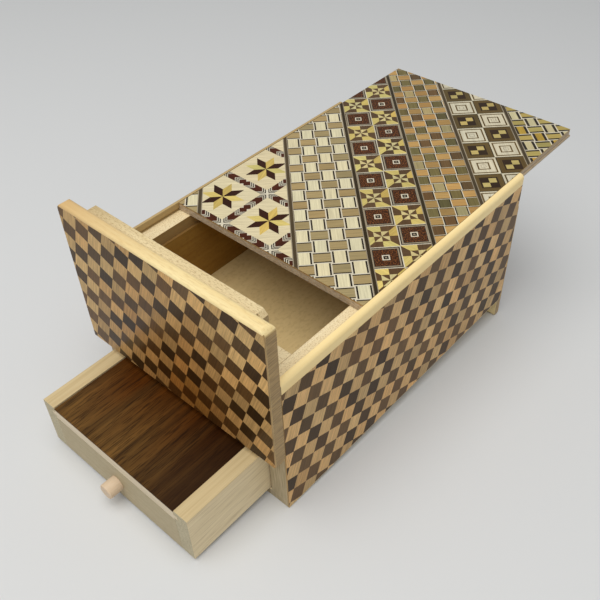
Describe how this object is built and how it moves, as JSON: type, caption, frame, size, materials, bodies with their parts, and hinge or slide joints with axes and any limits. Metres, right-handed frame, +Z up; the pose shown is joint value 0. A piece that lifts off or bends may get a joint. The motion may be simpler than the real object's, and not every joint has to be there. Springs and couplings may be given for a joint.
{
  "type": "wooden puzzle box",
  "caption": "Rectangular marquetry puzzle box, part open: sliding mosaic lid, end panels that slide up and down, and a hidden drawer with a sliding walnut cover.",
  "frame": {"origin": "middle of the underside of the box, between the ends of its long walls", "axes": "+Z up, +Y to the back, the way the lid slides open, +X to the right"},
  "size_m": [0.114, 0.2718, 0.1249],
  "materials": {
    "pale_wood": "oiled satin",
    "lining_wood": "raw sawn",
    "checker_veneer": "lacquered satin",
    "lid_wood": "raw sawn",
    "mosaic_veneer": "lacquered satin",
    "drawer_wood": "planed matt",
    "knob_wood": "planed matt",
    "walnut_veneer": "oiled satin"
  },
  "bodies": {
    "carcass": {"bottom_panel": "pale_wood", "front_wall": "pale_wood", "rear_wall": "pale_wood", "compartment_floor": "lining_wood", "front_lining": "lining_wood", "rear_lining": "lining_wood", "left_lining": "lining_wood", "right_lining": "lining_wood", "left_side_wall": "pale_wood", "right_side_wall": "pale_wood", "left_side_veneer": "checker_veneer", "right_side_veneer": "checker_veneer"},
    "lid": {"lid_board": "lid_wood", "lid_veneer": "mosaic_veneer"},
    "front_end": {"front_panel": "pale_wood", "front_veneer": "checker_veneer", "front_tongue": "pale_wood"},
    "rear_end": {"rear_panel": "pale_wood", "rear_veneer": "checker_veneer", "rear_tongue": "pale_wood"},
    "drawer": {"left_drawer_wall": "drawer_wood", "right_drawer_wall": "drawer_wood", "drawer_front": "drawer_wood", "drawer_back": "drawer_wood", "drawer_floor": "drawer_wood", "drawer_knob": "knob_wood"},
    "drawer_cover": {"cover_board": "drawer_wood", "cover_veneer": "walnut_veneer"}
  },
  "joints": [
    {"name": "lid_slide", "type": "slide", "parent": "carcass", "child": "lid", "axis": [0, 1, 0], "range_m": [-0.0458, 0.09]},
    {"name": "front_panel_slide", "type": "slide", "parent": "carcass", "child": "front_end", "axis": [0, 0, 1], "range_m": [-0.0028, 0.025]},
    {"name": "rear_panel_slide", "type": "slide", "parent": "carcass", "child": "rear_end", "axis": [0, 0, 1], "range_m": [0, 0.0142]},
    {"name": "drawer_slide", "type": "slide", "parent": "carcass", "child": "drawer", "axis": [0, 1, 0], "range_m": [-0.07, 0.0577]},
    {"name": "drawer_cover_slide", "type": "slide", "parent": "drawer", "child": "drawer_cover", "axis": [0, 1, 0], "range_m": [-0.09, 0]}
  ]
}
